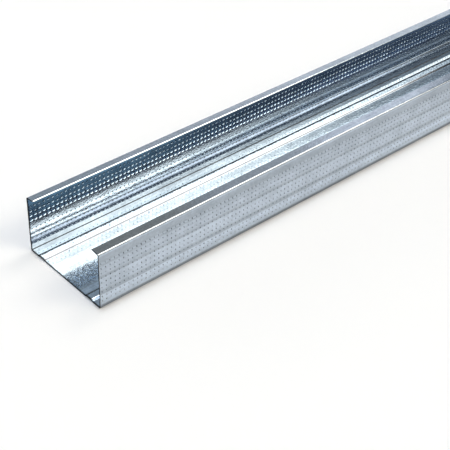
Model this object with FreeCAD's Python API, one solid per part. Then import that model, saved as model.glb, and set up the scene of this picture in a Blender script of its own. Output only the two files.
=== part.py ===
# Cold-rolled steel stud: one length of lipped C channel, lying on its web with the open side up.
# X runs along the stud, Y across the web and Z up the flanges, in millimetres.
# The origin is on the floor, under the middle of the stud.

import FreeCAD, Part
import math
import os

# Stock
stud_length = 2600.0
web_width = 88.8
flange_height = 50.0
lip_length = 8.5
lip_rise_degrees = 5.5
sheet_thickness = 0.8
bend_inside_radius = 0.5

# Two grooves along the web, which stand up as ribs inside the channel
rib_from_flange = 14.4
rib_width = 9.4
rib_top_width = 4.8
rib_height = 1.0
rib_bend_radius = 1.0

# Each flange stands a little inward at its foot, then leans out to its full width
flange_foot_height = 5.6
flange_foot_inset = 0.35
flange_lean_height = 3.4

# Shallow creases along the outside of each flange, evenly spaced above its foot
first_crease_above_foot = 3.9
crease_spacing = 14.35
crease_lower_side = 0.8
crease_upper_side = 4.2
crease_depth = 0.12
crease_radius = 2.0

# Worked out from the sizes above
half_sheet = sheet_thickness / 2
bend_middle_radius = bend_inside_radius + half_sheet
bend_outside_radius = bend_inside_radius + sheet_thickness
flange_middle = web_width / 2 - half_sheet
foot_middle = flange_middle - flange_foot_inset
foot_top = flange_foot_height + flange_lean_height
section_x = -stud_length / 2


def rib_corners():
    """One rib of the web: up its slope, along its flat top and down again."""
    rib_middle = web_width / 2 - rib_from_flange
    foot = rib_width / 2
    top = rib_top_width / 2
    raised = half_sheet + rib_height
    return [
        (rib_middle - foot, half_sheet, rib_bend_radius),
        (rib_middle - top, raised, rib_bend_radius),
        (rib_middle + top, raised, rib_bend_radius),
        (rib_middle + foot, half_sheet, rib_bend_radius),
    ]


def flange_corners():
    """A flange from its foot up: the lean to its full width, then every crease that fits."""
    corners = [
        (foot_middle, flange_foot_height, crease_radius),
        (flange_middle, foot_top, crease_radius),
    ]
    highest = flange_height - bend_outside_radius - crease_upper_side
    height = foot_top + first_crease_above_foot
    while height <= highest:
        corners += [
            (flange_middle, height - crease_lower_side, crease_radius),
            (flange_middle - crease_depth, height, crease_radius),
            (flange_middle, height + crease_upper_side, crease_radius),
        ]
        height += crease_spacing
    return corners


def half_section():
    """Corners of the sheet's middle line from the first rib out to the tip of the lip.

    Each corner is its distance from the stud's middle plane, its height and its bend radius.
    """
    lip_rise = math.radians(lip_rise_degrees)
    lip_reach = lip_length - half_sheet
    lip_corner_height = flange_height - half_sheet
    web_corner = (foot_middle, half_sheet, bend_middle_radius)
    lip_corner = (flange_middle, lip_corner_height, bend_middle_radius)
    lip_tip = (
        flange_middle - lip_reach * math.cos(lip_rise),
        lip_corner_height + lip_reach * math.sin(lip_rise),
        0.0,
    )
    return rib_corners() + [web_corner] + flange_corners() + [lip_corner, lip_tip]


def whole_section():
    """Corners of the whole middle line, from one lip's tip round to the other's."""
    half = half_section()
    mirrored = [(-across, height, radius) for across, height, radius in reversed(half)]
    return mirrored + half


def left_of(direction):
    """Unit vector square to a direction in the section, on its left."""
    return FreeCAD.Vector(0, -direction.z, direction.y)


def sheet_surface(corners, offset):
    """Edges of one surface of the sheet: straight runs joined by arcs tangent to them.

    The surface lies at a constant offset to the left of the middle line, so an arc that turns
    left is smaller by the offset and an arc that turns right is larger by it.
    """
    points = [FreeCAD.Vector(section_x, across, height) for across, height, radius in corners]
    radii = [radius for across, height, radius in corners]
    runs = [(after - before).normalize() for before, after in zip(points, points[1:])]
    start = points[0] + left_of(runs[0]) * offset
    edges = []
    for corner, radius, arriving, leaving in zip(points[1:-1], radii[1:-1], runs, runs[1:]):
        turn = arriving.getAngle(leaving)
        side = math.copysign(1.0, left_of(arriving).dot(leaving))
        tangent = radius * math.tan(turn / 2)
        arc_start = corner - arriving * tangent + left_of(arriving) * offset
        arc_end = corner + leaving * tangent + left_of(leaving) * offset
        centre = corner - arriving * tangent + left_of(arriving) * (side * radius)
        arc_middle = centre + (corner - centre).normalize() * (radius - side * offset)
        edges.append(Part.LineSegment(start, arc_start).toShape())
        edges.append(Part.Arc(arc_start, arc_middle, arc_end).toShape())
        start = arc_end
    end = points[-1] + left_of(runs[-1]) * offset
    edges.append(Part.LineSegment(start, end).toShape())
    return edges


def section_face():
    """Cross-section of the stud: both surfaces of the bent sheet, closed across the lip tips."""
    corners = whole_section()
    inner = sheet_surface(corners, half_sheet)
    outer = sheet_surface(corners, -half_sheet)
    first_tip = Part.LineSegment(inner[0].Vertexes[0].Point, outer[0].Vertexes[0].Point)
    last_tip = Part.LineSegment(inner[-1].Vertexes[-1].Point, outer[-1].Vertexes[-1].Point)
    outline = inner + [last_tip.toShape()] + list(reversed(outer)) + [first_tip.toShape()]
    return Part.Face(Part.Wire(outline))


def steel_stud():
    """The stud: its section carried straight along its length, both ends cut square."""
    return section_face().extrude(FreeCAD.Vector(stud_length, 0, 0))


os.makedirs("parts", exist_ok=True)
steel_stud().exportStep("parts/steel_stud.step")
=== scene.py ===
# Galvanised steel stud on a plain studio floor: the dimpled sheet, its zinc finish and the light.
# Sizes are in metres unless a comment says otherwise. X runs along the stud, Z is up.

from collections import namedtuple
import math

import bpy
import numpy as np
from mathutils import Matrix, Vector


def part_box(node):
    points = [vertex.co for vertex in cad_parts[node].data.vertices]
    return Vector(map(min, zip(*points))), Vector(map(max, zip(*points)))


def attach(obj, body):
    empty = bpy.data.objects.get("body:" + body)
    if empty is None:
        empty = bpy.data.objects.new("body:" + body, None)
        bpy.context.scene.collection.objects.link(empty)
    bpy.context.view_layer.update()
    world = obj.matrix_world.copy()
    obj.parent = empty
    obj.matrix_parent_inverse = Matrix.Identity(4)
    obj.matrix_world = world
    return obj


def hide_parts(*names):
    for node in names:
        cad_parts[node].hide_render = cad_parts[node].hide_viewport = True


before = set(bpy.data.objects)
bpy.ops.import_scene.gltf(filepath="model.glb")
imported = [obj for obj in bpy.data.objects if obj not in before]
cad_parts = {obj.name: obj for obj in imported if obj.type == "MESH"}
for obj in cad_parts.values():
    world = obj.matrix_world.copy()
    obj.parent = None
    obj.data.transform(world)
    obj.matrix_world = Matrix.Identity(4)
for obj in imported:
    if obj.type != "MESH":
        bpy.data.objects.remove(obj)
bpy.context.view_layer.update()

MM = 0.001

# The stud's own sizes: the overall ones come from the frame, the rolled ones repeat the section
NODE = "steel_stud"
node_low, node_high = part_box(NODE)
STUD_LENGTH = node_high.x - node_low.x
WEB_WIDTH = node_high.y - node_low.y
FLANGE_HEIGHT = 50.0 * MM
LIP_LENGTH = 8.5 * MM
LIP_RISE = math.radians(5.5)
SHEET = 0.8 * MM
FLANGE_MIDDLE = WEB_WIDTH / 2 - SHEET / 2
BEND_MIDDLE_RADIUS = 0.5 * MM + SHEET / 2
RIB_FROM_FLANGE = 14.4 * MM
RIB_WIDTH = 9.4 * MM
RIB_TOP_WIDTH = 4.8 * MM
RIB_HEIGHT = 1.0 * MM
RIB_BEND_RADIUS = 1.0 * MM
FOOT_HEIGHT = 5.6 * MM
FOOT_INSET = 0.35 * MM
LEAN_HEIGHT = 3.4 * MM
CREASE_COUNT = 3
FIRST_CREASE_ABOVE_FOOT = 3.9 * MM
CREASE_SPACING = 14.35 * MM
CREASE_LOWER_SIDE = 0.8 * MM
CREASE_UPPER_SIDE = 4.2 * MM
CREASE_DEPTH = 0.12 * MM
CREASE_RADIUS = 2.0 * MM

# The dimples that a roller punches into both flanges from outside: pits there, and bumps inside,
# which are narrower in the lowest rows. A dimple's middle is painted dark, painted shade, more in
# some dimples than in others.
LENGTHS_OF_SKIN = 4
DIMPLE_PITCH = 4.0 * MM
DIMPLE_ROWS = 9
FIRST_DIMPLE_ROW = 6.8 * MM
DIMPLE_ROW_SPACING = 4.28 * MM
PIT_RADIUS = 0.8 * MM
PIT_DEPTH = 0.28 * MM
BUMP_RADIUS = 1.4 * MM
LOW_BUMP_RADIUS = 0.85 * MM
LOW_BUMP_ROWS = 5
BUMP_HEIGHT = 0.06 * MM
DIMPLE_UNEVENNESS = 0.25
# Painted shade in each dimple's middle: the radii where it fades, its darkness, and its spread
SHADED_SPOT_RADIUS = (0.34 * MM, 0.62 * MM)
SPOT_PAINTED_SHADE = 0.10
SPOT_SHADE_SPREAD = 0.40 * MM
DIMPLES_PER_PLAIN_STEP = 4

# The three grid lines through a dimple each way, in radii from its middle
TRIPLE = np.array([-1.0, 0.0, 1.0])

# Heights of the plain grid lines that keep the flange's corners sharp between the rows of dimples
CORNER_LINES = [height * MM for height in (1.6, 5.3, 5.7, 8.8, 9.2, 12.3, 12.7, 13.1)]

# A row above this height is shaded as plumb between its dimples, and the inside of the foot as
# tilted up by this angle until just below the lean
PLUMB_ROWS_ABOVE = 17.0 * MM
FOOT_TILT = math.radians(0.4)
TILT_ENDS_BELOW_LEAN = 0.25 * MM

# The steps of each bend, and the slanting cut along a lip's tip, whose lower edge is painted dark,
# which is painted shade
BEND_STEPS = 6
LIP_BEVEL = 0.60 * MM
TIP_SHADE_REACH = 1.2 * MM

# A grid of points with what is known at each: the plain surface's normal, whether a dimple's middle
# is there, the normal on the dimple's cap, and the distance from its middle
Zone = namedtuple("Zone", "points normals centre caps from_middle")

# Where a face's corners take their normals: from the plain surface, a dimple's cap or the face
ROUNDED, CAPPED, FLAT = 0, 1, 2

# The skin's material slots, and the place of the web among the zones of the inner surface
INSIDE, SHEARED, OUTSIDE, WEB = 0, 1, 2, 3
WEB_ZONE = 2

# A finish: the colours it reflects, and its roughness, each where it is dull and where it is
# bright, the height of its relief, and its crystals per metre
Finish = namedtuple("Finish", "dull bright roughness relief crystals")
OUTER_ZINC = Finish((0.40, 0.455, 0.52), (0.57, 0.64, 0.725), (0.09, 0.05), 0.03 * MM, 600.0)
INNER_ZINC = OUTER_ZINC._replace(dull=(0.385, 0.45, 0.53), bright=(0.55, 0.635, 0.735))
# The cut faces are coloured near black, far darker than bare steel: painted shade
SHEARED_STEEL = Finish((0.004, 0.004, 0.005), (0.02, 0.02, 0.022), (0.7, 0.5), 0.05 * MM, 900.0)

# How much the clouds, crystals and rolling lines count, and which sum of them is dull and bright.
# Then how far a crystal's edge strays, and how the lines' noise is drawn out along the stud.
CLOUD_WEIGHT = 1.1
CLOUD_START = -0.05
CRYSTAL_WEIGHT = 0.35
LINE_WEIGHT = 0.9
DULL_TO_BRIGHT = (0.75, 1.55)
CRYSTAL_RAGGEDNESS = 2.0 * MM
LINE_SQUEEZE = (0.012, 1.0, 1.0)

# Painted shade in a dark strip beside a cut end: how dark it is, and how far it reaches on each surface
CUT_EDGE_PAINTED_SHADE = 0.03
INNER_EDGE_SHADE_REACH = 1.4 * MM
OUTER_EDGE_SHADE_REACH = 0.45 * MM
SHEARED_EDGE_SHADE_REACH = 0.2 * MM

# Beside a cut end the web is coarser along its middle: where that is across and along, and how much
COARSE_MIDDLE = -7.0 * MM
COARSE_ACROSS = (7.0 * MM, 13.0 * MM)
COARSE_ALONG = (24.0 * MM, 40.0 * MM)
COARSE_ROUGHNESS = 0.03
COARSE_RELIEF = 7.0
COARSE_GRAINS_PER_METRE = 1000.0
COARSE_SHADES = (0.40, 1.30)

# How light the outside of a flange is at each height in millimetres: lighter and darker long bands,
# and darkest at the foot, painted shade where the flange reflects the floor's shadow
FLANGE_BANDS = [
    (0.0, 0.51), (2.8, 0.57), (3.4, 0.96), (4.4, 1.14), (5.2, 1.10), (8.4, 1.12), (9.8, 1.20),
    (12.7, 1.04), (13.1, 0.76), (16.4, 0.78), (18.0, 1.0), (27.5, 1.0), (28.1, 0.74), (29.4, 0.74),
    (31.4, 0.95), (38.8, 0.90), (39.2, 0.76), (40.0, 0.80), (40.8, 0.93), (41.4, 0.90), (41.9, 0.74),
    (47.0, 0.78), (48.2, 0.95), (50.0, 1.0),
]

# The same for the inside of a flange, all painted light and shade for its reflections: darkest in
# the corner at its foot, darker and lighter up its height, lighter from 27 to 35 mm and above 43 mm
INNER_PAINTED_SHADING = [
    (0.0, 0.30), (1.45, 0.30), (1.6, 0.66), (5.2, 0.70), (6.0, 0.85), (8.6, 0.85), (9.4, 0.58),
    (10.6, 0.50), (12.4, 0.24), (13.0, 1.30), (16.6, 1.18), (18.8, 1.05), (20.4, 0.57), (23.5, 0.66),
    (24.1, 0.66), (26.2, 0.80), (27.4, 1.25), (28.5, 1.35), (34.5, 1.35), (36.5, 0.9), (42.0, 0.9),
    (43.0, 1.35), (50.0, 1.35),
]

# The same for the web, by the distance from its middle, all painted light and shade: brighter beside
# a rib, darker along the rib's inner slope, and dark in the corner where a flange is bent up
WEB_PAINTED_SHADING = [
    (0.0, 1.0), (18.6, 1.0), (19.6, 1.25), (24.0, 1.25), (24.8, 1.0), (25.0, 1.0), (25.7, 0.2),
    (26.6, 0.2), (27.5, 1.0), (42.55, 1.0), (42.8, 0.25), (44.4, 0.25),
]

# The studio: floor, low wall up to the elevations where it ends, darker room above it, and soft
# panels as azimuth, elevation, half width, half height and soft edge, in degrees, and light
FLOOR_LEVEL = -0.2 * MM
FLOOR_REACH = 40.0
FLOOR_COLOUR = (0.99, 0.99, 0.99)
WALL_EDGE = (20.0, 29.5)
WALL_LIGHT = (0.93, 0.95, 0.98)
ROOM_LIGHT = (0.17, 0.20, 0.23)
PANELS = [
    (0.0, 90.0, 20.0, 20.0, 9.0, (0.7, 0.7, 0.7)),
    (37.0, 42.0, 2.0, 3.0, 8.0, (0.48, 0.50, 0.52)),
    (32.4, 38.0, 1.0, 3.0, 3.0, (0.95, 0.97, 1.03)),
    (59.0, 34.0, 5.0, 3.0, 5.0, (0.66, 0.86, 0.84)),
    (60.0, 43.5, 8.0, 4.0, 3.0, (0.35, 0.40, 0.44)),
    (49.0, 47.0, 3.5, 2.0, 2.5, (0.31, 0.31, 0.29)),
    (-50.0, 11.0, 40.0, 14.5, 4.0, (0.12, 0.13, 0.14)),
    (-55.0, 41.5, 19.0, 10.0, 3.5, (0.62, 0.64, 0.62)),
    (-58.0, 46.0, 15.0, 6.0, 2.5, (4.6, 4.3, 3.6)),
    (-54.0, 39.2, 19.0, 5.0, 2.5, (3.0, 2.75, 2.3)),
    (-52.0, 38.4, 20.0, 3.2, 2.0, (5.3, 4.65, 3.75)),
    (7.0, 57.0, 8.5, 9.0, 3.0, (6.0, 5.4, 4.8)),
]

# The overhead lamp: where it stands and how wide it looks, in degrees, and its light
LAMP_AZIMUTH = 75.0
LAMP_ELEVATION = 86.0
LAMP_WIDTH = 7.0
LAMP_STRENGTH = 0.82
LAMP_COLOUR = (0.82, 0.90, 1.0)

# The camera, found from the edges of the stud: the near lower corner of its cut end, the pixel
# that shows it, how far off it is, and the view's direction in degrees
PICTURE_SIDE = 450.0
ANCHOR_PIXEL = (100.737, 309.262)
ANCHOR_DISTANCE = 847.195 * MM
FOCAL_PIXELS = 1163.746
VIEW_AZIMUTH = 47.135
VIEW_ELEVATION = 37.498
VIEW_ROLL = 2.105
VIEW_CLIP = (0.01, 200.0)


def half_corners(grooved):
    """Corners of the sheet's middle line from the first rib to a lip's tip: across, height, radius."""
    rib = WEB_WIDTH / 2 - RIB_FROM_FLANGE
    raised = SHEET / 2 + RIB_HEIGHT
    corners = [
        (rib - RIB_WIDTH / 2, SHEET / 2, RIB_BEND_RADIUS),
        (rib - RIB_TOP_WIDTH / 2, raised, RIB_BEND_RADIUS),
        (rib + RIB_TOP_WIDTH / 2, raised, RIB_BEND_RADIUS),
        (rib + RIB_WIDTH / 2, SHEET / 2, RIB_BEND_RADIUS),
        (FLANGE_MIDDLE - FOOT_INSET, SHEET / 2, BEND_MIDDLE_RADIUS),
    ]
    if grooved:
        foot_top = FOOT_HEIGHT + LEAN_HEIGHT
        corners += [
            (FLANGE_MIDDLE - FOOT_INSET, FOOT_HEIGHT, CREASE_RADIUS),
            (FLANGE_MIDDLE, foot_top, CREASE_RADIUS),
        ]
        for number in range(CREASE_COUNT):
            height = foot_top + FIRST_CREASE_ABOVE_FOOT + number * CREASE_SPACING
            corners += [
                (FLANGE_MIDDLE, height - CREASE_LOWER_SIDE, CREASE_RADIUS),
                (FLANGE_MIDDLE - CREASE_DEPTH, height, CREASE_RADIUS),
                (FLANGE_MIDDLE, height + CREASE_UPPER_SIDE, CREASE_RADIUS),
            ]
    lip_root = FLANGE_HEIGHT - SHEET / 2
    reach = LIP_LENGTH - SHEET / 2
    tip = (FLANGE_MIDDLE - reach * math.cos(LIP_RISE), lip_root + reach * math.sin(LIP_RISE), 0.0)
    return corners + [(FLANGE_MIDDLE, lip_root, BEND_MIDDLE_RADIUS), tip]


def sheet_surface(corners, offset):
    """One surface of the bent sheet: points and outward normals, in the section's plane.

    Each corner becomes an arc tangent to both of its runs. A point of the arc is its centre plus
    the left-hand normal, turned by a share of the bend's angle, times the offset less the radius.
    """
    data = np.array(corners)
    points, radii = data[:, :2], data[1:-1, 2:]
    runs = np.diff(points, axis=0)
    runs /= np.linalg.norm(runs, axis=1, keepdims=True)
    lefts = np.stack([-runs[:, 1], runs[:, 0]], axis=1)
    arriving, leaving, left = runs[:-1], runs[1:], lefts[:-1]
    sine = (left * leaving).sum(1, keepdims=True)
    cosine = (arriving * leaving).sum(1, keepdims=True)
    turn = np.arctan2(sine, cosine)
    tangent = radii * np.tan(np.abs(turn) / 2)
    centres = points[1:-1] - arriving * tangent + left * np.sign(turn) * radii
    angle = turn * np.linspace(0, 1, BEND_STEPS + 1)
    normals = left[:, None] * np.cos(angle)[..., None] - arriving[:, None] * np.sin(angle)[..., None]
    arcs = centres[:, None] + normals * (offset - np.sign(turn) * radii)[..., None]
    back = LIP_BEVEL * (offset < 0) * np.array([[1.0], [-1.0]])
    ends = points[[0, -1]] + lefts[[0, -1]] * offset + runs[[0, -1]] * back
    line = np.concatenate([ends[:1], arcs.reshape(-1, 2), ends[1:]])
    facing = np.concatenate([lefts[:1], normals.reshape(-1, 2), lefts[-1:]]) * np.sign(offset)
    return line, facing


def whole_corners(grooved):
    """Corners of the middle line from one lip's tip round to the other's, mirrored about the middle."""
    half = half_corners(grooved)
    return [(-across, height, radius) for across, height, radius in reversed(half)] + half


def flange_profile(offset):
    """One flange's surface in order of height: across-distance, height and outward normal.

    Between its end bends lie the arcs of the foot's two corners and of three for each crease.
    """
    line, facing = sheet_surface(whole_corners(True), offset)
    arc = BEND_STEPS + 1
    top = len(line) - 1 - arc
    foot = top - (3 * CREASE_COUNT + 2) * arc - 1
    return (*line[foot:top + 1].T, *facing[foot:top + 1].T)


def flange_facing(offset, height, in_row, leaning):
    """Across-distance and outward normal of a flange at each height, read off its profile.

    In a row of dimples the normal keeps only the sheet's lean outwards, and only where the row is
    leaning, so that no crease breaks up a row. It stays of length one.
    """
    across_line, heights, normal_across, normal_up = flange_profile(offset)
    across, face_across, face_up = (
        np.interp(height, heights, values) for values in (across_line, normal_across, normal_up)
    )
    towards = math.copysign(1.0, offset)
    on_foot = height < FOOT_HEIGHT - TILT_ENDS_BELOW_LEAN
    face_up = face_up + math.sin(FOOT_TILT) * (offset > 0) * on_foot
    lean_up = towards * np.maximum(towards * face_up, 0.0) * leaning
    face_up = np.where(in_row, lean_up, face_up)
    face_across = np.where(in_row, np.sign(face_across) * np.sqrt(1 - lean_up ** 2), face_across)
    return across, face_across, face_up


def plain_zone(line, facing, places):
    """A stretch of the section carried straight along the stud: a grid of stations by places."""
    along = np.broadcast_to(places, (len(line), len(places)))
    across, height = (np.broadcast_to(column[:, None], along.shape) for column in line.T)
    points = np.stack([along, across, height], axis=-1)
    normals = np.zeros_like(points)
    normals[..., 1:] = facing[:, None]
    far_from_dimples = np.full(along.shape, LIP_LENGTH)
    return Zone(points, normals, np.zeros(along.shape, bool), normals, far_from_dimples)


def dimple_lines(offset, punch):
    """The grid lines of a dimpled flange in order of height: three to a row, and plain ones between.

    Gives each line's middle height, its step from there in radii, its dimples' radius and
    punches, and whether it belongs to a row.
    """
    rows, columns = punch.shape
    plain = len(CORNER_LINES)
    radii = np.full(rows, BUMP_RADIUS if offset > 0 else PIT_RADIUS)
    radii[:LOW_BUMP_ROWS] = np.minimum(radii[:LOW_BUMP_ROWS], LOW_BUMP_RADIUS)
    row_heights = FIRST_DIMPLE_ROW + DIMPLE_ROW_SPACING * np.arange(rows)
    middle = np.concatenate([np.repeat(row_heights, len(TRIPLE)), CORNER_LINES])
    row_step = np.concatenate([np.tile(TRIPLE, rows), np.zeros(plain)])
    radius = np.concatenate([np.repeat(radii, len(TRIPLE)), np.full(plain, radii[-1])])
    punched = np.concatenate([np.repeat(punch, len(TRIPLE), axis=0), np.zeros((plain, columns))])
    in_row = np.concatenate([np.ones(len(TRIPLE) * rows, bool), np.zeros(plain, bool)])
    order = np.argsort(middle + row_step * radius)
    return tuple(values[order] for values in (middle, row_step, radius, punched, in_row))


def dimpled_zone(side, offset, start, end, punch, spot_spread):
    """The dimpled band of one flange: a grid of heights by places along the stud.

    Three grid lines cross each dimple each way. The middle point of its three by three is pushed
    towards the channel by the punch, and its four corners are drawn in onto the dimple's circle.
    On the circle the cap's normal leans by twice the push over the radius, as on a shallow bowl.
    """
    middle, row_step, radius, punched, in_row = dimple_lines(offset, punch)
    middle, row_step, radius, in_row = (part[:, None] for part in (middle, row_step, radius, in_row))
    punched = np.repeat(punched, len(TRIPLE), axis=1)
    columns = punch.shape[1]
    pitch = (end - start) / columns
    column_step = np.concatenate([[0.0], np.tile(TRIPLE, columns), [0.0]])
    middles = np.repeat(start + pitch * (np.arange(columns) + 0.5), len(TRIPLE))
    column_place = np.concatenate([[start], middles, [end]])
    inside = np.ones(len(column_place), bool)
    inside[[0, -1]] = False
    corner = (row_step != 0) & (column_step != 0)
    reach = radius * np.where(corner, math.sqrt(0.5), 1.0)
    height = middle + row_step * reach
    along = column_place + column_step * reach
    centre = in_row & (row_step == 0) & (column_step == 0) & inside
    across, face_across, face_up = flange_facing(offset, height, in_row, middle < PLUMB_ROWS_ABOVE)
    push = BUMP_HEIGHT if offset > 0 else PIT_DEPTH
    depth = np.zeros_like(height)
    depth[:, 1:-1] = push * punched * centre[:, 1:-1]
    points = np.stack([along, side * (across - depth), height], axis=-1)
    normals = np.stack([np.zeros_like(height), side * face_across, face_up], axis=-1)
    steps = np.hypot(row_step, column_step)
    unit = np.where(steps > 0, 1 / np.maximum(steps, 1), 0)
    lean = np.zeros_like(height)
    lean[:, 1:-1] = math.copysign(2 * push, offset) / radius * punched
    caps = normals.copy()
    caps[..., 0] += lean * unit * column_step
    caps[..., 2] += lean * unit * row_step
    caps /= np.linalg.norm(caps, axis=-1, keepdims=True)
    from_middle = np.broadcast_to(radius, centre.shape).copy()
    from_middle[centre] = spot_spread.ravel()
    zone = Zone(points, normals, centre, caps, from_middle)
    return turned_back(zone) if side < 0 else zone


def turned_back(zone):
    """The same zone with its lines in the opposite order."""
    return Zone(*(part[::-1] for part in zone))


def surface_zones(offset, start, end, punches):
    """One surface of the stud in path order: lip, dimpled flange, web, dimpled flange, lip.

    The lower edge of a lip's tip is painted dark, painted shade, by the same shade as a dimple's middle.
    """
    line, facing = sheet_surface(whole_corners(False), offset)
    lip = BEND_STEPS + 2
    (near_flange, far_flange), (near_spot_spread, far_spot_spread) = punches
    steps = math.ceil(near_flange.shape[1] / DIMPLES_PER_PLAIN_STEP)
    places = np.linspace(start, end, steps + 1)
    zones = [
        plain_zone(line[:lip], facing[:lip], places),
        dimpled_zone(-1, offset, start, end, near_flange, near_spot_spread),
        plain_zone(line[lip:-lip], facing[lip:-lip], places),
        dimpled_zone(1, offset, start, end, far_flange, far_spot_spread),
        plain_zone(line[-lip:], facing[-lip:], places),
    ]
    # Painted shade along the lower edge of each lip's tip
    tip_shade = 0.0 if offset > 0 else TIP_SHADE_REACH
    zones[0].from_middle[0] = tip_shade
    zones[-1].from_middle[-1] = tip_shade
    return zones


def grid_triangles(index, centre):
    """Two triangles for each cell of a grid, split so that the split runs through a dimple's centre."""
    a, b = index[:-1, :-1], index[:-1, 1:]
    c, d = index[1:, 1:], index[1:, :-1]
    middle_row, middle_column = centre.any(1), centre.any(0)
    same = middle_row[:-1, None] == middle_column[None, :-1]
    one = np.where(same[..., None], np.stack([a, b, c], -1), np.stack([a, b, d], -1))
    two = np.where(same[..., None], np.stack([a, c, d], -1), np.stack([b, c, d], -1))
    touched = centre[:-1, :-1] | centre[:-1, 1:] | centre[1:, 1:] | centre[1:, :-1]
    triangles = np.concatenate([one.reshape(-1, 3), two.reshape(-1, 3)])
    return triangles, np.tile(touched.ravel(), 2)


def bridge_triangles(before, after, points):
    """Joins two neighbouring grid lines, which may differ in their numbers of points.

    Each step of one line is closed by the other line's point nearest to the step's middle.
    """
    places = [points[line, 0] for line in (before, after)]
    middles = [(along[1:] + along[:-1]) / 2 for along in places]
    nearest_after = after[np.searchsorted(middles[1], middles[0])]
    nearest_before = before[np.searchsorted(middles[0], middles[1], side="right")]
    one = np.stack([before[:-1], before[1:], nearest_after], axis=-1)
    two = np.stack([nearest_before, after[1:], after[:-1]], axis=-1)
    return np.concatenate([one, two])


def end_triangles(ring):
    """Closes a cut end: a strip between the inner and the outer line of the section."""
    half = len(ring) // 2
    inner, outer = ring[:half], ring[half:][::-1]
    one = np.stack([inner[:-1], inner[1:], outer[1:]], axis=-1)
    two = np.stack([inner[:-1], outer[1:], outer[:-1]], axis=-1)
    return np.concatenate([one, two])


def stud_skin(name, start, end, seed, materials):
    """One closed length of the dimpled stud, with normals worked out for its bends and its dimples.

    The section's two surfaces form a loop of zones, each a grid carried from start to end.
    """
    columns = round((end - start) / DIMPLE_PITCH)
    random = np.random.default_rng(seed)
    uneven = random.uniform(-DIMPLE_UNEVENNESS, DIMPLE_UNEVENNESS, (2, DIMPLE_ROWS, columns))
    punches = (1.0 + uneven, random.uniform(0.0, SPOT_SHADE_SPREAD, uneven.shape))
    inner = surface_zones(SHEET / 2, start, end, punches)
    outer = surface_zones(-SHEET / 2, start, end, punches)
    loop = inner + [turned_back(zone) for zone in reversed(outer)]
    sizes = [zone.centre.shape for zone in loop]
    firsts = np.cumsum([0] + [rows * across for rows, across in sizes])
    grids = [
        np.arange(first, first + rows * across).reshape(rows, across)
        for first, (rows, across) in zip(firsts, sizes)
    ]
    points, normals, caps = (
        np.concatenate([values.reshape(-1, 3) for values in parts])
        for parts in zip(*((zone.points, zone.normals, zone.caps) for zone in loop))
    )
    triangles, kinds, slots = [], [], []
    for number, (grid, zone) in enumerate(zip(grids, loop)):
        faces, touched = grid_triangles(grid, zone.centre)
        side = OUTSIDE if number >= len(inner) else INSIDE
        triangles.append(faces)
        kinds.append(np.where(touched, CAPPED, ROUNDED))
        slots.append(np.full(len(faces), WEB if number == WEB_ZONE else side))
    for number, grid in enumerate(grids):
        faces = bridge_triangles(grid[-1], grids[(number + 1) % len(grids)][0], points)
        tip = number in (len(inner) - 1, len(loop) - 1)
        triangles.append(faces)
        kinds.append(np.full(len(faces), FLAT if tip else ROUNDED))
        slots.append(np.full(len(faces), OUTSIDE if number >= len(inner) else INSIDE))
    start_ring = np.concatenate([grid[:, 0] for grid in grids])
    end_ring = np.concatenate([grid[:, -1] for grid in grids])
    cut = np.concatenate([end_triangles(start_ring), end_triangles(end_ring)[:, ::-1]])
    triangles = np.concatenate([*triangles, cut])
    kinds = np.concatenate([*kinds, np.full(len(cut), FLAT)])
    slots = np.concatenate([*slots, np.full(len(cut), SHEARED)])
    piece = closed_piece(name, points, (normals, caps), triangles, kinds, slots, materials)
    from_middle = np.concatenate([zone.from_middle.ravel() for zone in loop])
    distance = piece.data.attributes.new("from_dimple", "FLOAT", "POINT")
    distance.data.foreach_set("value", from_middle.astype(np.float32))
    return piece


def closed_piece(name, points, facings, triangles, kinds, slots, materials):
    """Puts whole arrays into a mesh, with a normal for each corner of each face by the face's kind."""
    mesh = bpy.data.meshes.new(name)
    mesh.vertices.add(len(points))
    mesh.vertices.foreach_set("co", points.ravel())
    mesh.loops.add(triangles.size)
    mesh.loops.foreach_set("vertex_index", triangles.ravel().astype(np.int32))
    mesh.polygons.add(len(triangles))
    mesh.polygons.foreach_set("loop_start", np.arange(0, triangles.size, 3, dtype=np.int32))
    mesh.polygons.foreach_set("material_index", slots.astype(np.int32))
    mesh.polygons.foreach_set("use_smooth", np.ones(len(triangles), bool))
    mesh.update(calc_edges=True)
    one, two, three = (points[triangles[:, corner]] for corner in range(3))
    face_normals = np.cross(two - one, three - one)
    face_normals /= np.linalg.norm(face_normals, axis=1, keepdims=True)
    kind = kinds[:, None, None]
    normals, caps = facings
    rounded = np.where(kind == CAPPED, caps[triangles], normals[triangles])
    corner_normals = np.where(kind == FLAT, face_normals[:, None], rounded)
    mesh.normals_split_custom_set(corner_normals.reshape(-1, 3).tolist())
    for material in materials:
        mesh.materials.append(material)
    piece = bpy.data.objects.new(name, mesh)
    bpy.context.scene.collection.objects.link(piece)
    return piece


def node(tree, kind, inputs=None, **settings):
    """Adds a node. Each input is given a value, or is linked where it is given an output socket."""
    made = tree.nodes.new(kind)
    for name, value in settings.items():
        setattr(made, name, value)
    for name, value in (inputs or {}).items():
        if isinstance(value, bpy.types.NodeSocket):
            tree.links.new(value, made.inputs[name])
        else:
            made.inputs[name].default_value = value
    return made


def reckon(tree, operation, *values):
    """The result of a Math node on values, each a number or an output socket."""
    return node(tree, "ShaderNodeMath", dict(enumerate(values)), operation=operation).outputs[0]


def reckon_vector(tree, operation, *values):
    """The result of a Vector Math node on values, each a vector or an output socket."""
    inputs = dict(enumerate(values))
    return node(tree, "ShaderNodeVectorMath", inputs, operation=operation).outputs["Vector"]


def along_axis(tree, gaze, axis):
    """How far a gaze reaches along an axis: their dot product."""
    inputs = {0: gaze, 1: axis}
    return node(tree, "ShaderNodeVectorMath", inputs, operation="DOT_PRODUCT").outputs["Value"]


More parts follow.
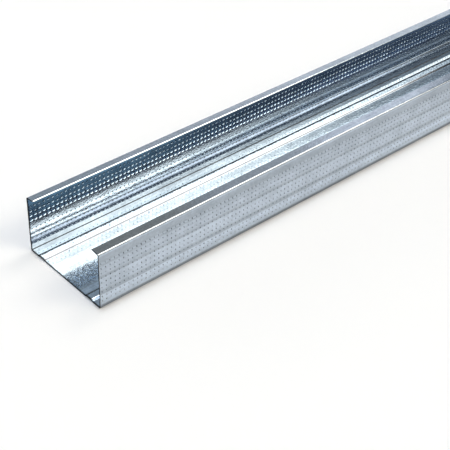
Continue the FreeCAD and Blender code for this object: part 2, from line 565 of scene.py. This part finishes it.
def shaded(tree, colour, shade):
    """A colour made lighter or darker by a shade."""
    inputs = {0: colour, "Scale": shade}
    return node(tree, "ShaderNodeVectorMath", inputs, operation="SCALE").outputs["Vector"]


def ranged(tree, value, low, high, at_low=0.0, at_high=1.0, smooth=False):
    """A number that goes from one end to the other while the value goes from low to high."""
    inputs = {"Value": value, "From Min": low, "From Max": high, "To Min": at_low, "To Max": at_high}
    pace = "SMOOTHSTEP" if smooth else "LINEAR"
    return node(tree, "ShaderNodeMapRange", inputs, interpolation_type=pace).outputs["Result"]


def coordinate(tree, place, axis):
    """One coordinate of a place."""
    return node(tree, "ShaderNodeSeparateXYZ", {"Vector": place}).outputs[axis]


def noise(tree, place, scale, detail, roughness):
    """The outputs of a noise of so many waves per metre."""
    inputs = {"Vector": place, "Scale": scale, "Detail": detail, "Roughness": roughness}
    return node(tree, "ShaderNodeTexNoise", inputs).outputs


def random_cells(tree, place, scale):
    """A random number for each cell of an uneven pattern of so many cells per metre."""
    inputs = {"Vector": place, "Scale": scale, "Randomness": 1.0}
    cells = node(tree, "ShaderNodeTexVoronoi", inputs)
    return node(tree, "ShaderNodeSeparateColor", {"Color": cells.outputs["Color"]}).outputs["Red"]


def cut_margin(tree, place):
    """How far a place is from the nearer cut end: half the length less its distance from the middle."""
    from_middle = reckon(tree, "ABSOLUTE", coordinate(tree, place, "X"))
    return reckon(tree, "SUBTRACT", STUD_LENGTH / 2, from_middle)


def placed(tree, group, inputs):
    """The outputs of a shader group placed in a tree, with its inputs set or linked."""
    return node(tree, "ShaderNodeGroup", inputs, node_tree=group).outputs


def cleared_tree(owner):
    """The emptied node tree of a material or a world."""
    owner.use_nodes = True
    owner.node_tree.nodes.clear()
    return owner.node_tree


def blend_colours(tree, share, first, second):
    """The first colour where the share is 0, the second where it is 1."""
    mixer = node(tree, "ShaderNodeMix", {0: share}, data_type="RGBA")
    for socket, colour in ((mixer.inputs[6], first), (mixer.inputs[7], second)):
        if isinstance(colour, bpy.types.NodeSocket):
            tree.links.new(colour, socket)
        else:
            socket.default_value = (*colour, 1.0)
    return mixer.outputs[2]


def pattern_group(name, inputs, outputs):
    """An empty shader group with named inputs, each with its starting value, and named outputs."""
    group = bpy.data.node_groups.new(name, "ShaderNodeTree")
    for socket, value in inputs.items():
        kind = "NodeSocketVector" if value is None else "NodeSocketFloat"
        made = group.interface.new_socket(socket, in_out="INPUT", socket_type=kind)
        if value is not None:
            made.default_value = value
    for socket in outputs:
        group.interface.new_socket(socket, in_out="OUTPUT", socket_type="NodeSocketFloat")
    return group, node(group, "NodeGroupInput").outputs, node(group, "NodeGroupOutput").inputs


def zinc_grain():
    """The zinc coat's fine crystals: a random shade for each ragged cell, a height and soft clouds."""
    group, given, result = pattern_group(
        "zinc grain", {"Vector": None, "Crystals Per Metre": 400.0, "Clouds Per Metre": 60.0},
        ["Shade", "Height", "Cloud"],
    )
    place, crystals = given["Vector"], given["Crystals Per Metre"]
    ragged = noise(group, place, crystals, detail=1.0, roughness=0.6)
    shift = reckon_vector(group, "SUBTRACT", ragged["Color"], (0.5,) * 3)
    spread = reckon_vector(group, "MULTIPLY_ADD", shift, (CRYSTAL_RAGGEDNESS,) * 3, place)
    clouds = noise(group, place, given["Clouds Per Metre"], detail=3.0, roughness=0.6)
    group.links.new(random_cells(group, spread, crystals), result["Shade"])
    group.links.new(ragged["Fac"], result["Height"])
    group.links.new(clouds["Fac"], result["Cloud"])
    return group


def painted_shade_marks():
    """How far the steel is darkened by painted shade: 1 on plain zinc, less in a dimple's middle and
    beside a cut end.
    """
    group, given, result = pattern_group(
        "painted shade marks", {"Vector": None, "From Dimple": 1.0, "Edge Shade Reach": 0.4 * MM}, ["Shade"]
    )
    closed, opened = SHADED_SPOT_RADIUS
    # Painted shade: dark in a dimple's middle and beside a cut end
    spot_shade = ranged(group, given["From Dimple"], closed, opened, SPOT_PAINTED_SHADE, 1.0)
    margin = cut_margin(group, given["Vector"])
    edge_shade = ranged(group, margin, 0.0, given["Edge Shade Reach"], CUT_EDGE_PAINTED_SHADE, 1.0, smooth=True)
    group.links.new(reckon(group, "MULTIPLY", spot_shade, edge_shade), result["Shade"])
    return group


def rolling_lines():
    """Faint lines left by the rolls: noise drawn out along the sheet's length."""
    group, given, result = pattern_group(
        "rolling lines", {"Vector": None, "Lines Per Metre": 500.0}, ["Line"]
    )
    drawn = reckon_vector(group, "MULTIPLY", given["Vector"], LINE_SQUEEZE)
    lines = noise(group, drawn, given["Lines Per Metre"], detail=3.0, roughness=0.65)
    group.links.new(lines["Fac"], result["Line"])
    return group


def shade_bands(name, bands, axis, span):
    """Long lighter and darker bands along the steel, with painted light and shade: a shade for each
    distance along an axis.
    """
    group, given, result = pattern_group(name, {"Vector": None}, ["Shade"])
    distance = reckon(group, "ABSOLUTE", coordinate(group, given["Vector"], axis))
    ramp = node(group, "ShaderNodeValToRGB", {"Fac": reckon(group, "DIVIDE", distance, span)})
    stops = ramp.color_ramp.elements
    stops[0].position, stops[0].color = 0.0, (bands[0][1],) * 3 + (1.0,)
    stops[1].position, stops[1].color = 1.0, (bands[-1][1],) * 3 + (1.0,)
    for level, shade in bands[1:-1]:
        stops.new(level * MM / span).color = (shade, shade, shade, 1.0)
    group.links.new(ramp.outputs["Color"], result["Shade"])
    return group


def coarse_middle():
    """Coarser zinc beside a cut end: adds to the roughness there, grains to the relief, and flecks."""
    group, given, result = pattern_group(
        "coarse middle", {"Vector": None, "Roughness": 0.1, "Height": 0.5},
        ["Roughness", "Height", "Shade"],
    )
    place = given["Vector"]
    across = reckon(group, "SUBTRACT", coordinate(group, place, "Y"), COARSE_MIDDLE)
    sideways = reckon(group, "ABSOLUTE", across)
    margin = cut_margin(group, place)
    share = reckon(
        group, "MULTIPLY",
        ranged(group, sideways, *COARSE_ACROSS, at_low=1.0, at_high=0.0, smooth=True),
        ranged(group, margin, *COARSE_ALONG, at_low=1.0, at_high=0.0, smooth=True),
    )
    grains = noise(group, place, COARSE_GRAINS_PER_METRE, detail=1.0, roughness=0.5)
    rise = reckon(group, "MULTIPLY", share, COARSE_RELIEF)
    darkest, lightest = COARSE_SHADES
    chance = random_cells(group, place, COARSE_GRAINS_PER_METRE)
    fleck = ranged(group, chance, 0.0, 1.0, darkest - 1.0, lightest - 1.0)
    results = {
        "Roughness": reckon(group, "MULTIPLY_ADD", share, COARSE_ROUGHNESS, given["Roughness"]),
        "Height": reckon(group, "MULTIPLY_ADD", grains["Fac"], rise, given["Height"]),
        "Shade": reckon(group, "MULTIPLY_ADD", fleck, share, 1.0),
    }
    for socket, value in results.items():
        group.links.new(value, result[socket])
    return group


def steel_finish(name, finish, groups, edge_shade, bands=None, coarse=None):
    """Bare or coated steel: shaded by its crystals, clouds and rolling lines, roughened by the same."""
    grain_group, line_group, mark_group = groups
    material = bpy.data.materials.new(name)
    tree = cleared_tree(material)
    place = node(tree, "ShaderNodeTexCoord").outputs["Object"]
    dimple = node(tree, "ShaderNodeAttribute", attribute_name="from_dimple").outputs["Fac"]
    grain = placed(tree, grain_group, {"Vector": place, "Crystals Per Metre": finish.crystals})
    lines = placed(tree, line_group, {"Vector": place})
    marks = placed(tree, mark_group, {"Vector": place, "From Dimple": dimple, "Edge Shade Reach": edge_shade})
    clouded = reckon(tree, "MULTIPLY_ADD", grain["Cloud"], CLOUD_WEIGHT, CLOUD_START)
    crystalled = reckon(tree, "MULTIPLY_ADD", grain["Shade"], CRYSTAL_WEIGHT, clouded)
    lined = reckon(tree, "MULTIPLY_ADD", lines["Line"], LINE_WEIGHT, crystalled)
    share = ranged(tree, lined, *DULL_TO_BRIGHT)
    colour = shaded(tree, blend_colours(tree, share, finish.dull, finish.bright), marks["Shade"])
    rough = ranged(tree, share, 0.0, 1.0, *finish.roughness)
    height = grain["Height"]
    if bands:
        colour = shaded(tree, colour, placed(tree, bands, {"Vector": place})["Shade"])
    if coarse:
        coarser = placed(tree, coarse, {"Vector": place, "Roughness": rough, "Height": height})
        rough, height = coarser["Roughness"], coarser["Height"]
        colour = shaded(tree, colour, coarser["Shade"])
    bump = node(tree, "ShaderNodeBump", {"Strength": 1.0, "Distance": finish.relief, "Height": height})
    shader = node(
        tree, "ShaderNodeBsdfPrincipled",
        {"Base Color": colour, "Metallic": 1.0, "Roughness": rough, "Normal": bump.outputs[0]},
    )
    node(tree, "ShaderNodeOutputMaterial", {"Surface": shader.outputs[0]})
    return material


def floor_sheet():
    """A level square of pale floor just under the stud."""
    reach = FLOOR_REACH
    corners = [(-reach, -reach, FLOOR_LEVEL), (reach, -reach, FLOOR_LEVEL)]
    corners += [(reach, reach, FLOOR_LEVEL), (-reach, reach, FLOOR_LEVEL)]
    mesh = bpy.data.meshes.new("studio_floor")
    mesh.from_pydata(corners, [], [(0, 1, 2, 3)])
    material = bpy.data.materials.new("pale floor")
    tree = cleared_tree(material)
    paint = node(tree, "ShaderNodeBsdfDiffuse", {"Color": (*FLOOR_COLOUR, 1.0)})
    node(tree, "ShaderNodeOutputMaterial", {"Surface": paint.outputs[0]})
    mesh.materials.append(material)
    floor = bpy.data.objects.new("studio_floor", mesh)
    bpy.context.scene.collection.objects.link(floor)
    return floor


def heading(azimuth, elevation):
    """The unit direction at an azimuth from +X towards +Y and an elevation, both in degrees."""
    turn, rise = math.radians(azimuth), math.radians(elevation)
    return Vector((math.cos(rise) * math.cos(turn), math.cos(rise) * math.sin(turn), math.sin(rise)))


def soft_panel():
    """How much a panel covers a gaze: 1 within its half sizes, fading out over its soft edge."""
    group, given, result = pattern_group(
        "soft panel",
        {
            "Gaze": None, "Ahead": None, "Across": None, "Upward": None,
            "Half Width": 0.1, "Outer Width": 0.2, "Half Height": 0.1, "Outer Height": 0.2,
        },
        ["Cover"],
    )
    covers = []
    for axis, size in (("Across", "Width"), ("Upward", "Height")):
        distance = reckon(group, "ABSOLUTE", along_axis(group, given["Gaze"], given[axis]))
        covers.append(ranged(group, distance, given[f"Outer {size}"], given[f"Half {size}"], smooth=True))
    ahead = along_axis(group, given["Gaze"], given["Ahead"])
    front = reckon(group, "GREATER_THAN", ahead, 0.0)
    cover = reckon(group, "MULTIPLY", reckon(group, "MULTIPLY", *covers), front)
    group.links.new(cover, result["Cover"])
    return group


def studio_light():
    """The room round the stud: a pale low wall, darker above, with soft panels laid over it one by one."""
    world = bpy.data.worlds.new("soft studio")
    tree = cleared_tree(world)
    gaze = node(tree, "ShaderNodeTexCoord").outputs["Generated"]
    low, high = (math.sin(math.radians(edge)) for edge in WALL_EDGE)
    above = ranged(tree, coordinate(tree, gaze, "Z"), low, high, smooth=True)
    colour = blend_colours(tree, above, WALL_LIGHT, ROOM_LIGHT)
    panel_group = soft_panel()
    for azimuth, elevation, width, height, edge, light in PANELS:
        angles = {
            "Half Width": width, "Outer Width": width + edge,
            "Half Height": height, "Outer Height": height + edge,
        }
        directions = {
            "Ahead": heading(azimuth, elevation),
            "Across": heading(azimuth - 90.0, 0.0),
            "Upward": heading(azimuth, elevation + 90.0),
        }
        reaches = {socket: math.sin(math.radians(angle)) for socket, angle in angles.items()}
        cover = placed(tree, panel_group, {"Gaze": gaze, **directions, **reaches})["Cover"]
        colour = blend_colours(tree, cover, colour, light)
    glow = node(tree, "ShaderNodeBackground", {"Color": colour, "Strength": 1.0})
    node(tree, "ShaderNodeOutputWorld", {"Surface": glow.outputs[0]})
    bpy.context.scene.world = world


def overhead_lamp():
    """A soft lamp far above the stud, a little behind it, that gives the floor its shadow."""
    light = bpy.data.lights.new("overhead_lamp", "SUN")
    light.energy = LAMP_STRENGTH
    light.angle = math.radians(LAMP_WIDTH)
    light.color = LAMP_COLOUR
    lamp = bpy.data.objects.new("overhead_lamp", light)
    lamp.rotation_euler = heading(LAMP_AZIMUTH, LAMP_ELEVATION).to_track_quat("Z", "Y").to_euler()
    bpy.context.scene.collection.objects.link(lamp)


def photo_camera():
    """Sets the camera by where it sees one corner: the stud's near lower one, at its full size."""
    gaze = -heading(VIEW_AZIMUTH + 180.0, VIEW_ELEVATION)
    level = gaze.cross(Vector((0.0, 0.0, 1.0))).normalized()
    upright = level.cross(gaze)
    roll = math.radians(VIEW_ROLL)
    right = math.cos(roll) * level + math.sin(roll) * upright
    up = math.cos(roll) * upright - math.sin(roll) * level
    across = (ANCHOR_PIXEL[0] - PICTURE_SIDE / 2) / FOCAL_PIXELS
    down = (ANCHOR_PIXEL[1] - PICTURE_SIDE / 2) / FOCAL_PIXELS
    ray = (across * right - down * up + gaze).normalized()
    anchor = Vector((node_low.x, node_low.y, node_low.z))
    data = bpy.data.cameras.new("photo_camera")
    data.sensor_fit = "HORIZONTAL"
    data.lens = data.sensor_width * FOCAL_PIXELS / PICTURE_SIDE
    data.clip_start, data.clip_end = VIEW_CLIP
    camera = bpy.data.objects.new("photo_camera", data)
    turn = Matrix((right, up, -gaze)).transposed().to_4x4()
    camera.matrix_world = Matrix.Translation(anchor - ray * ANCHOR_DISTANCE) @ turn
    bpy.context.scene.collection.objects.link(camera)
    bpy.context.scene.camera = camera


groups = (zinc_grain(), rolling_lines(), painted_shade_marks())
inner_painted_shading = shade_bands("inner painted shading", INNER_PAINTED_SHADING, "Z", FLANGE_HEIGHT)
outer_bands = shade_bands("outer bands", FLANGE_BANDS, "Z", FLANGE_HEIGHT)
web_painted_shading = shade_bands("web painted shading", WEB_PAINTED_SHADING, "Y", WEB_WIDTH / 2)
skin_materials = {
    INSIDE: steel_finish("galvanised steel", INNER_ZINC, groups, INNER_EDGE_SHADE_REACH, inner_painted_shading),
    SHEARED: steel_finish("sheared edge", SHEARED_STEEL, groups, SHEARED_EDGE_SHADE_REACH),
    OUTSIDE: steel_finish("rolled galvanised steel", OUTER_ZINC, groups, OUTER_EDGE_SHADE_REACH, outer_bands),
    WEB: steel_finish("web steel", INNER_ZINC, groups, INNER_EDGE_SHADE_REACH, web_painted_shading, coarse_middle()),
}
in_slot_order = [skin_materials[slot] for slot in sorted(skin_materials)]
piece_ends = np.linspace(node_low.x, node_high.x, LENGTHS_OF_SKIN + 1)
for number, (start, end) in enumerate(zip(piece_ends[:-1], piece_ends[1:]), start=1):
    length = stud_skin(f"stud_skin_{number}", start, end, number, in_slot_order)
    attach(length, "root")
    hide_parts(NODE)

floor_sheet()
studio_light()
overhead_lamp()
photo_camera()
bpy.context.scene.view_settings.view_transform = "Standard"
